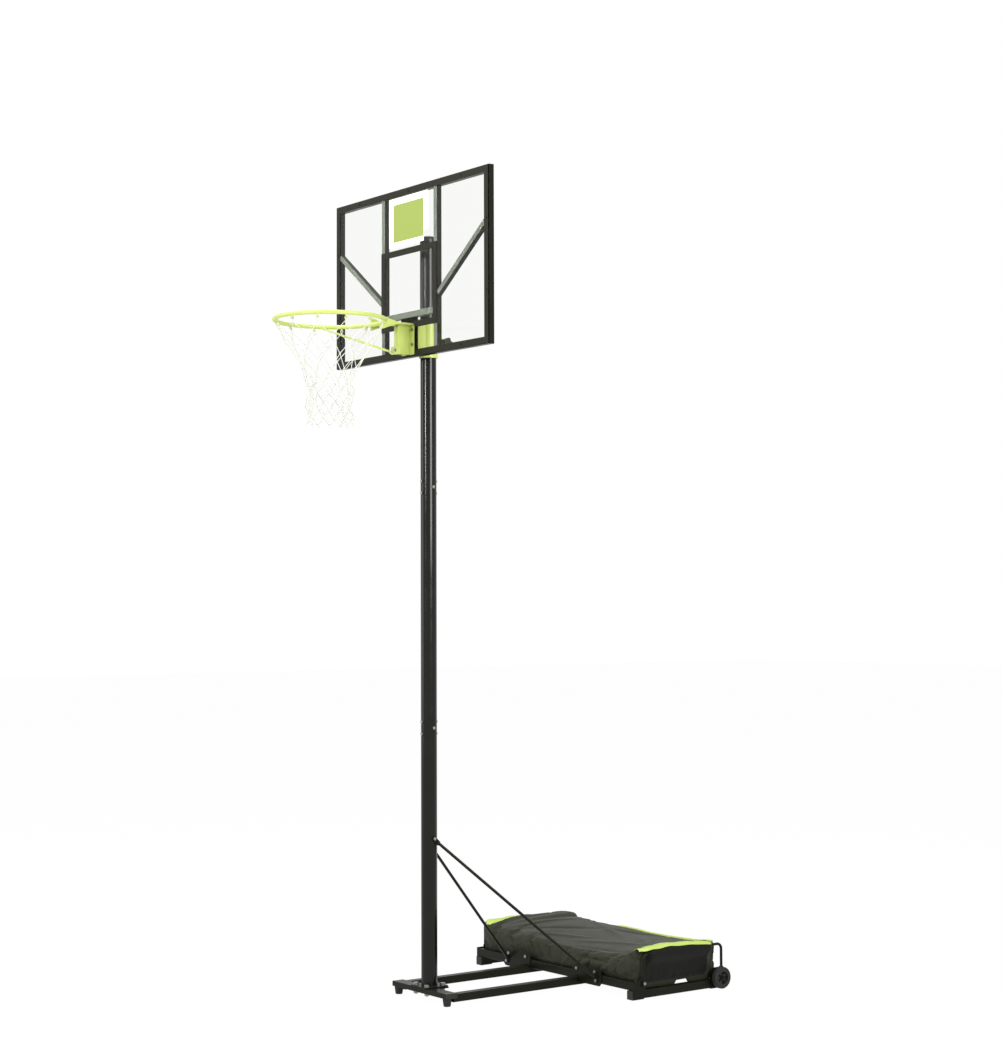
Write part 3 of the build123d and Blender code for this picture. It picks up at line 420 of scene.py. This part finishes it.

# Grey strips on the fronts of the tubes behind the sheet are painted highlight, for the light that
# these faces catch.

tube_highlight_grey = ink("grey painted tube highlight", "#5c6158")
highlight_depth = 0.0006
highlight_inset = 0.0004  # from the sheet's rear face, which lies on the tubes, to its middle
upright_x = 0.2


def highlight_strip(name, start, end, width):
    """A grey strip of painted highlight between the sheet and a tube, from one X and Z to another.
    """
    run = Vector((end[0] - start[0], end[1] - start[1]))
    middle = ((start[0] + end[0]) / 2, panel_high.y - highlight_inset, (start[1] + end[1]) / 2)
    turn = (0, -math.atan2(run.y, run.x), 0)
    bpy.ops.object.select_all(action="DESELECT")
    bpy.ops.mesh.primitive_cube_add(size=1, location=middle, rotation=turn)
    strip = bpy.context.object
    strip.name = name
    strip.scale = (run.length, highlight_depth, width)
    bpy.ops.object.transform_apply(location=True, rotation=True, scale=True)
    strip.data.materials.append(tube_highlight_grey)
    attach(strip, "board")


for side, sign in (("left", -1), ("right", 1)):
    x = sign * upright_x
    highlight_strip(f"upper_highlight_{side}", (x, 3.246), (x, 3.484), 0.024)
    highlight_strip(f"lower_highlight_{side}", (x, 2.80), (x, 2.897), 0.024)
    highlight_strip(f"diagonal_highlight_{side}", (sign * 0.2150, 3.024), (sign * 0.5530, 3.280), 0.021)
highlight_strip("cross_tube_highlight", (-0.187, 2.955), (0.187, 2.955), 0.026)

# ---------------------------------------------------------------- ring, bracket and sleeve
# Steel rod and folded plate, welded and powder coated lime.
# The same baked coat as the frame, in a light colour that hides its peel.

lime_powder = powder_coat("lime powder coat", "#a5b157", "#aebb64", 0.36, 0.4)
dress(lime_powder, "ring_bracket", "ring", "pole_sleeve")

# ---------------------------------------------------------------- net
# White braided polyester cord, looped over the twelve hooks and knotted into
# long diamonds that close in to a narrow tube.

ring_outer_radius = 0.243
ring_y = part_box("ring")[0].y + ring_outer_radius

# Each row of knots: its height and its distance from the ring's axis.
rows = (
    (2.8700, 0.2245),
    (2.8050, 0.1860),
    (2.7420, 0.1450),
    (2.6840, 0.1130),
    (2.6360, 0.0960),
    (2.5960, 0.0925),
    (2.5600, 0.0920),
    (2.5250, 0.0925),
    (2.4900, 0.0935),
    (2.4560, 0.0955),
)
hooks = 12
cord = 0.0033
knot_width, knot_length = 1.05, 1.35  # a knot's radius in cords, and how much longer it is


def knot_place(row, turn):
    """Where a knot of the net hangs, a little out of true as real netting is."""
    height, radius = rows[row]
    angle = math.radians(turn)
    wander = 0.004 * math.sin(2.1 * row + 3 * angle) * min(row, 3)
    radius += wander
    return Vector((radius * math.cos(angle), radius * math.sin(angle), height + 0.5 * wander))


def cord_along(points):
    """A length of round cord through points, as a mesh."""
    curve = bpy.data.curves.new("cord", "CURVE")
    curve.dimensions = "3D"
    curve.bevel_depth = cord / 2
    curve.bevel_resolution = 1
    curve.use_fill_caps = True
    spline = curve.splines.new("POLY")
    spline.points.add(len(points) - 1)
    for spot, point in zip(spline.points, points):
        spot.co = (*point, 1)
    holder = bpy.data.objects.new("cord", curve)
    bpy.context.scene.collection.objects.link(holder)
    return holder


step = 360 / hooks / 2
hook_radius, hook_top = 0.228, 2.8857
loop_radius, loop_bottom, half_loop = 0.227, 2.8800, 0.0052
net_parts = []
for hook in range(hooks):
    start = (hook + 0.5) * 360 / hooks
    hung = math.radians(start)
    for lean in (1, -1):
        aside = Vector((-math.sin(hung), math.cos(hung), 0)) * half_loop * lean
        over = Vector((hook_radius * math.cos(hung), hook_radius * math.sin(hung), hook_top))
        down = Vector((loop_radius * math.cos(hung), loop_radius * math.sin(hung), loop_bottom))
        down += aside
        points = [over, over + aside * 0.7, down]
        points += [knot_place(row, start + lean * step * row) for row in range(len(rows))]
        net_parts.append(cord_along([point + Vector((0, ring_y, 0)) for point in points]))
    for row in range(len(rows)):
        spot = knot_place(row, start + step * row) + Vector((0, ring_y, 0))
        bpy.ops.mesh.primitive_uv_sphere_add(
            segments=8, ring_count=6, radius=cord * knot_width, location=spot
        )
        knot = bpy.context.object
        knot.scale = (1, 1, knot_length)
        net_parts.append(knot)
bpy.ops.object.select_all(action="DESELECT")
for part in net_parts:
    part.select_set(True)
bpy.context.view_layer.objects.active = net_parts[0]
bpy.ops.object.convert(target="MESH")
bpy.ops.object.join()
net = bpy.context.object
net.name = "cord_net"
bpy.ops.object.transform_apply(location=True, rotation=True, scale=True)
bpy.ops.object.shade_smooth()

net_cord, tree, shader = new_finish("white braided polyester cord")
place = add_node(tree, "ShaderNodeTexCoord").outputs["Object"]
braid = add_node(tree, "ShaderNodeTexNoise", {"Scale": 600.0, "Detail": 2.0}, {"Vector": place})
bump = add_node(
    tree, "ShaderNodeBump", {"Strength": 0.2, "Distance": 0.0004}, {"Height": braid.outputs[0]}
)
tone = add_node(
    tree,
    "ShaderNodeMix",
    {"data_type": "RGBA", 6: linear("#b6b6ac"), 7: linear("#c2c2b8")},
    {0: braid.outputs[0]},
)
tree.links.new(tone.outputs[2], shader.inputs["Base Color"])
tree.links.new(bump.outputs[0], shader.inputs["Normal"])
shader.inputs["Roughness"].default_value = 0.8
shader.inputs["Sheen Weight"].default_value = 0.2
net.data.materials.clear()
net.data.materials.append(net_cord)
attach(net, "board")
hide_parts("net")

# ---------------------------------------------------------------- ballast bag
# A cover of black woven polyester over the concrete slabs, drawn up to the hoops at
# both ends, slack between them and hanging below the tray's top at its ends.

# The bag's front and rear, measured back from the pole, and half its length.
bag_start = 0.696
bag_end = 1.184
half_bag = 0.547
bag_front = pole_y + bag_start
bag_rear = pole_y + bag_end


def clamped(share):
    """A share kept from 0 to 1."""
    return max(0.0, min(1.0, share))


def eased(share):
    """A share kept from 0 to 1, slow at both ends."""
    share = clamped(share)
    return share * share * (3 - 2 * share)


def between(value, table):
    """Smooth value from a table of (place, height)."""
    for (a, low), (b, high) in zip(table, table[1:]):
        if value <= b:
            return low + (high - low) * eased((value - a) / (b - a))
    return table[-1][1]


# Height of the bag's top along its front and its rear edge, from left to right.
front_line = (
    (-0.55, 0.184),
    (-0.47, 0.168),
    (-0.3, 0.160),
    (0.05, 0.148),
    (0.3, 0.153),
    (0.44, 0.162),
    (0.55, 0.206),
)
rear_line = (
    (-0.55, 0.196),
    (-0.50, 0.211),
    (-0.46, 0.210),
    (-0.41, 0.189),
    (-0.3, 0.186),
    (-0.1, 0.179),
    (0.15, 0.172),
    (0.3, 0.175),
    (0.42, 0.181),
    (0.55, 0.198),
)
# How much higher the top is over each end, from front to rear.
end_rise = ((0.0, 0.0), (0.35, 0.012), (0.8, 0.0), (1.0, 0.0))

# Height of the underside by its distance behind the pole: in its middle part, which the
# rails and slats carry, in the gap beside each end rail, where it hangs, and at the
# least where the front and rear rails carry it.
on_rail = 0.0757
on_slat = 0.0625
bed = ((0.706, on_rail), (0.740, on_slat), (1.120, on_slat), (1.150, on_rail))
hang = (
    (0.692, on_rail),
    (0.731, 0.040),
    (0.920, 0.039),
    (0.935, 0.054),
    (0.990, 0.055),
    (1.005, 0.039),
    (1.130, 0.040),
    (1.165, on_rail),
)
rail_edge = ((0.709, on_rail), (0.738, 0.0), (1.130, 0.0), (1.141, on_rail))
hang_start = 0.424
gap_end = 0.530
gap_drop = 0.007

# Folds across the top: where each runs from and to, across the bag and behind the pole,
# its height and its width.
folds = (
    ((-0.50, 0.72), (-0.47, 1.12), -0.010, 0.020),
    ((-0.43, 0.70), (-0.36, 1.10), 0.007, 0.022),
    ((-0.36, 0.78), (-0.10, 1.02), -0.007, 0.018),
    ((-0.30, 0.74), (0.02, 0.86), 0.006, 0.016),
    ((-0.22, 1.12), (0.12, 0.98), 0.006, 0.020),
    ((-0.08, 1.06), (0.24, 1.14), -0.006, 0.018),
    ((0.02, 0.80), (0.34, 0.90), 0.006, 0.018),
    ((0.10, 0.73), (0.44, 0.76), -0.006, 0.014),
    ((0.22, 1.02), (0.45, 0.86), 0.007, 0.020),
    ((0.30, 1.14), (0.47, 1.00), -0.007, 0.018),
    ((0.48, 0.72), (0.49, 1.12), -0.008, 0.018),
)


def fold_height(x, y):
    """How far the folds lift or lower the top at a place."""
    total = 0.0
    for (ax, ay), (bx, by), height, width in folds:
        along = Vector((bx - ax, by - ay))
        share = clamped(Vector((x - ax, y - ay)).dot(along) / along.length_squared)
        gap = (Vector((x - ax, y - ay)) - along * share).length
        strength = 0.4 + 0.6 * math.sin(math.pi * share)
        total += height * math.exp(-((gap / width) ** 2)) * strength
    return total


def bag_top(x, share):
    """Height of the bag's top at x, from its front (0) to its rear (1)."""
    front = between(x, front_line)
    rear = between(x, rear_line)
    slack = 1 - (x / half_bag) ** 6
    crown = 0.012 * math.sin(math.pi * share) * slack
    lift = between(share, end_rise) * clamped((abs(x) - 0.44) / 0.08)
    place = bag_start + (bag_end - bag_start) * share
    return front + (rear - front) * share**0.8 + crown + lift + fold_height(x, place) * slack


def bag_bottom(x, y):
    """Height of the bag's underside, which hangs beyond the outer slats.

    The hanging part has a lift at the right end only, which slants across it, and drops
    a little more in the gap than beside it.
    """
    place = y - pole_y
    inner = between(place, bed)
    slanted = place - 0.75 * (half_bag - abs(x)) if x > 0 else min(place, 0.9)
    outer = max(between(slanted, hang), between(place, rail_edge))
    outer -= gap_drop * clamped((gap_end - abs(x)) / 0.006) * (outer < 0.05)
    return inner + (outer - inner) * clamped((abs(x) - hang_start) / 0.014)


# How far the cloth is drawn in at its ends, along its top and at its rear corners, and
# how deep the tuck along its front and the pleats beside it are.
end_draw = 0.006
top_draw = 0.010
corner_draw = 0.024
tuck_depth = 0.020
pleat_depth = 0.0025

bpy.ops.object.select_all(action="DESELECT")
bpy.ops.mesh.primitive_cube_add(size=1)
bag = bpy.context.object
bag.name = "ballast_bag_cover"
bpy.ops.object.mode_set(mode="EDIT")
bpy.ops.mesh.subdivide(number_cuts=95)
bpy.ops.object.mode_set(mode="OBJECT")
for vertex in bag.data.vertices:
    # u runs from end to end, v from front to rear and w from bottom to top.
    u, v, w = vertex.co.x * 2, vertex.co.y + 0.5, vertex.co.z + 0.5
    full = 4 * w * (1 - w)
    x = u * (half_bag - end_draw * (1 - full))
    inset = top_draw * w * (1 - abs(u) ** 4)
    corner = corner_draw * v * u**8
    tuck = 0.0
    if v < 0.2:
        across = math.exp(-(((x - 0.2) / 0.16) ** 4))
        tuck = tuck_depth * math.exp(-(((w - 0.72) / 0.07) ** 2)) * across * (1 - 5 * v)
    y = bag_front + inset + tuck + v * (bag_rear - bag_front - 2 * inset) - corner
    pleat = pleat_depth * math.sin(70 * x + 3 * w) * math.sin(23 * x) * (1 - v) * full
    base = bag_bottom(x, y)
    vertex.co = (x, y + pleat, base + w * (bag_top(x, v) - base))


cloth_mesh = 0.006
frames = 20


def settle(piece, cap, held):
    """Let a padded piece settle as cloth, each point moving no farther than the cap."""
    bpy.context.view_layer.objects.active = piece
    loose = piece.modifiers.new("even mesh", "REMESH")
    loose.mode = "VOXEL"
    loose.voxel_size = cloth_mesh
    bpy.ops.object.modifier_apply(modifier="even mesh")
    fixed = piece.vertex_groups.new(name="held")
    fixed.add([point.index for point in piece.data.vertices if held(point.co)], 1.0, "REPLACE")
    cloth = piece.modifiers.new("cloth", "CLOTH")
    cloth.settings.quality = 3
    cloth.settings.use_pressure = True
    cloth.settings.uniform_pressure_force = 4
    cloth.settings.vertex_group_mass = "held"
    cloth.settings.effector_weights.gravity = 0
    cloth.settings.shrink_min = -0.05
    cloth.settings.bending_stiffness = 1.0
    for moment in range(1, frames + 1):
        bpy.context.scene.frame_set(moment)
    settled = piece.evaluated_get(bpy.context.evaluated_depsgraph_get()).data
    ends = [point.co.copy() for point in settled.vertices]
    piece.modifiers.remove(cloth)
    for point, end in zip(piece.data.vertices, ends):
        shift = end - point.co
        point.co += shift * min(1.0, cap / max(shift.length, 1e-6))
    bpy.context.scene.frame_set(1)


settle(bag, 0.010, lambda place: place.z < 0.085 or (abs(place.x) > 0.53 and place.z > 0.19))

# The lowest points are set down to where they rest, just clear of the tray.
resting_reach = 0.007
resting_gap = 0.0004
for vertex in bag.data.vertices:
    resting = bag_bottom(vertex.co.x, vertex.co.y)
    if vertex.co.z < resting + resting_reach:
        vertex.co.z = resting + resting_gap
bpy.ops.object.shade_smooth()


def woven(name, dark, light, patches):
    """Woven cloth, a little uneven in tone."""
    material, tree, shader = new_finish(name)
    place = add_node(tree, "ShaderNodeTexCoord").outputs["Object"]
    weave = add_node(
        tree,
        "ShaderNodeTexWave",
        {"Scale": 160.0, "Distortion": 0.6, "Detail": 1.0},
        {"Vector": place},
    )
    patch = add_node(
        tree, "ShaderNodeTexNoise", {"Scale": patches, "Detail": 5.0}, {"Vector": place}
    )
    tone = add_node(
        tree,
        "ShaderNodeMix",
        {"data_type": "RGBA", 6: linear(dark), 7: linear(light)},
        {0: patch.outputs[0]},
    )
    bump = add_node(
        tree, "ShaderNodeBump", {"Strength": 0.35, "Distance": 0.0005}, {"Height": weave.outputs[1]}
    )
    tree.links.new(tone.outputs[2], shader.inputs["Base Color"])
    tree.links.new(bump.outputs[0], shader.inputs["Normal"])
    shader.inputs["Roughness"].default_value = 0.58
    shader.inputs["Specular IOR Level"].default_value = 0.07
    shader.inputs["Sheen Weight"].default_value = 0.06
    return material


bag_cloth = woven("black woven polyester", "#1d1e15", "#2b2c20", 7.0)
# A darker copy of the cover cloth for the panels down the bag's ends: painted shade.
end_shade_cloth = woven("black cover cloth with painted shade", "#0a0a08", "#121210", 7.0)
bag.data.materials.clear()
bag.data.materials.append(bag_cloth)
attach(bag, "base")
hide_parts("ballast_bag")

slab_stone = moulded("cast concrete", "#8c8a82", 0.9, 3.0)
dress(slab_stone, "ballast_slabs")

# ---------------------------------------------------------------- bag webbing
# A sleeve at each end wraps the hoop's top bar, bound with lime polyester webbing, over
# a panel down the bag's end in a darker copy of the cover cloth, which is painted shade.
# A lime welt is sewn into the rear seam, which stands at the right and lies low on the rear wall at
# the left.

surface = BVHTree.FromObject(bag, bpy.context.evaluated_depsgraph_get())
bar_low, bar_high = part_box("bag_hoop_right")
bar_x = (bar_low.x + bar_high.x) / 2
bar_top = bar_high.z
hoop_rod = 0.012
bar_bottom = bar_high.z - hoop_rod
above_bag = 0.4
beyond_bag = 0.75
behind_bag = pole_y + 1.4


def cloth_top(x, y):
    """Height of the cover's top at a place."""
    found = surface.ray_cast(Vector((x, y, above_bag)), Vector((0, 0, -1)))[0]
    return found.z if found else 0.19


def cloth_end(sign, y, z):
    """How far out the cover's end stands at a place."""
    found = surface.ray_cast(Vector((sign * beyond_bag, y, z)), Vector((-sign, 0, 0)))[0]
    return abs(found.x) if found else half_bag


def ribbon(name, rows, thickness, material):
    """A sewn strip through rows of points, given its thickness."""
    bpy.ops.object.select_all(action="DESELECT")
    across_count = len(rows[0])
    bpy.ops.mesh.primitive_grid_add(
        x_subdivisions=across_count - 1, y_subdivisions=len(rows) - 1, size=1
    )
    strip = bpy.context.object
    strip.name = name
    for vertex in strip.data.vertices:
        row, column = divmod(vertex.index, across_count)
        vertex.co = rows[row][column]
    wall = strip.modifiers.new("thickness", "SOLIDIFY")
    wall.thickness = thickness
    wall.offset = 0
    bpy.ops.object.modifier_apply(modifier="thickness")
    bpy.ops.object.mode_set(mode="EDIT")
    bpy.ops.mesh.select_all(action="SELECT")
    bpy.ops.mesh.normals_make_consistent(inside=False)
    bpy.ops.object.mode_set(mode="OBJECT")
    bpy.ops.object.shade_smooth()
    strip.data.materials.append(material)
    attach(strip, "base")
    return strip


lime_webbing, tree, shader = new_finish("lime polyester webbing")
place = add_node(tree, "ShaderNodeTexCoord").outputs["Object"]
rib = add_node(tree, "ShaderNodeTexWave", {"Scale": 220.0, "Distortion": 0.3}, {"Vector": place})
tone = add_node(
    tree,
    "ShaderNodeMix",
    {"data_type": "RGBA", 6: linear("#93a848"), 7: linear("#aabf5c")},
    {0: rib.outputs[1]},
)
bump = add_node(
    tree, "ShaderNodeBump", {"Strength": 0.4, "Distance": 0.0005}, {"Height": rib.outputs[1]}
)
tree.links.new(tone.outputs[2], shader.inputs["Base Color"])
tree.links.new(bump.outputs[0], shader.inputs["Normal"])
shader.inputs["Roughness"].default_value = 0.6

# Height of each sleeve's fold, from front to rear.
right_line = ((0.70, 0.2135), (0.78, 0.2210), (0.86, 0.2250), (0.985, 0.2200), (1.11, 0.2095))
left_line = (
    (0.70, 0.189),
    (0.75, 0.193),
    (0.80, 0.2015),
    (0.86, 0.2070),
    (0.93, 0.2075),
    (1.01, 0.2035),
    (1.11, 0.197),
)
sleeve_start = 0.710
sleeve_length = 0.396
sleeve_rows = 49
webbing_thickness = 0.0014
stand_off = 0.003  # of the panel from the cover's end
near_spots = [(aside, rise) for aside in (-0.006, 0, 0.006) for rise in (-0.006, 0.006)]


def hoop_sleeve(side, sign, line, bound):
    """Cloth over a hoop's top bar, bound with webbing along a share of its fold."""
    fold, skirt = [], []
    for index in range(sleeve_rows):
        place = sleeve_start + sleeve_length * index / (sleeve_rows - 1)
        y = pole_y + place
        out = eased((place - sleeve_start) / 0.028)
        reach = half_bag + 0.002 + (bar_x - half_bag - 0.002) * out
        top = between(place, line) + 0.0010 * math.sin(60 * place)
        top += max(0.0, bar_top + 0.002 - top) * out
        edge = min(cloth_top(sign * (half_bag - 0.022), y) + 0.001, top)
        # Across the fold, from the cover's top out over the bar.
        corners = (
            (half_bag - 0.024, edge),
            (half_bag - 0.012, (edge + 2 * top) / 3),
            (reach - 0.010, top - 0.001),
            (reach - 0.003, top),
            (reach + 0.003, top - 0.002),
            (reach + 0.007, top - 0.006),
            (reach + 0.0085, top - 0.011),
        )
        fold.append([Vector((sign * x, y, z)) for x, z in corners])
        # Down the panel, from the bar's outer side in under it and down the bag's end.
        corners = (
            (bar_x + 0.0070, top - 0.009),
            (bar_x + 0.0090, bar_top - 0.004),
            (bar_x + 0.0095, bar_bottom - 0.004),
            (bar_x + 0.0060, bar_bottom - 0.020),
            (bar_x - 0.006, bar_bottom - 0.036),
            (half_bag, bar_bottom - 0.056),
            (half_bag, 0.112),
            (half_bag, 0.096),
            (half_bag, 0.080),
            (half_bag, 0.064),
        )
        if out == 1.0:
            # The panel lies flat on the cover's end at its front and opens to the bar.
            gather = eased(0.05 + (place - 0.738) / 0.030)
            row = []
            for x, z in corners:
                wall = max(cloth_end(sign, y + aside, z + rise) for aside, rise in near_spots)
                wall += stand_off
                row.append(Vector((sign * (wall + max(0.0, x - wall) * gather), y, z)))
            skirt.append(row)
    ribbon(f"sleeve_skirt_{side}", skirt, webbing_thickness, end_shade_cloth)
    sewn = round(bound * (sleeve_rows - 1))
    ribbon(f"sleeve_webbing_{side}", fold[: sewn + 1], webbing_thickness, lime_webbing)
    if sewn < sleeve_rows - 1:
        ribbon(f"sleeve_fold_{side}", fold[sewn:], webbing_thickness, bag_cloth)


hoop_sleeve("right", 1, right_line, 1.0)
hoop_sleeve("left", -1, left_line, 0.56)

# Height of the welt from left to right, where it stands.
welt_line = (
    (-0.10, 0.1785),
    (0.15, 0.1790),
    (0.31, 0.1820),
    (0.41, 0.1860),
    (0.51, 0.1945),
    (0.55, 0.200),
)
welt_seam = pole_y + 1.165
welt_start = -0.53
welt_step = 0.01
welt_rows = 107
welt_thickness = 0.0012
stations = []
for index in range(welt_rows):
    x = welt_start + welt_step * index
    y = welt_seam - 0.03 * max(0.0, x - 0.4)
    ahead = max(cloth_top(x, y - 0.012), cloth_top(x, y - 0.030))
    standing = eased((x + 0.24) / 0.22)
    low = ahead - 0.017
    behind = Vector((x, behind_bag, low - 0.004))
    wall = surface.ray_cast(behind, Vector((0, -1, 0)))[0].y + 0.001
    tall = max(between(x, welt_line), ahead + 0.0045)
    stations.append((x, wall + (y - wall) * standing, low + (tall - low) * math.sqrt(standing)))
welt = []
for index, (x, y, _) in enumerate(stations):
    near = [height for _, _, height in stations[max(0, index - 4) : index + 5]]
    top = sum(near) / len(near) + 0.0006 * math.sin(45 * x)
    foot = min(cloth_top(x, y - 0.004), top - 0.006) - 0.004
    foot = max(foot, top - 0.014)
    edge = (
        (-0.004, foot),
        (-0.003, top - 0.003),
        (0.0, top),
        (0.003, top - 0.004),
        (0.003, foot),
    )
    welt.append([Vector((x, y + aside, height)) for aside, height in edge])
ribbon("rear_welt", welt, welt_thickness, lime_webbing)
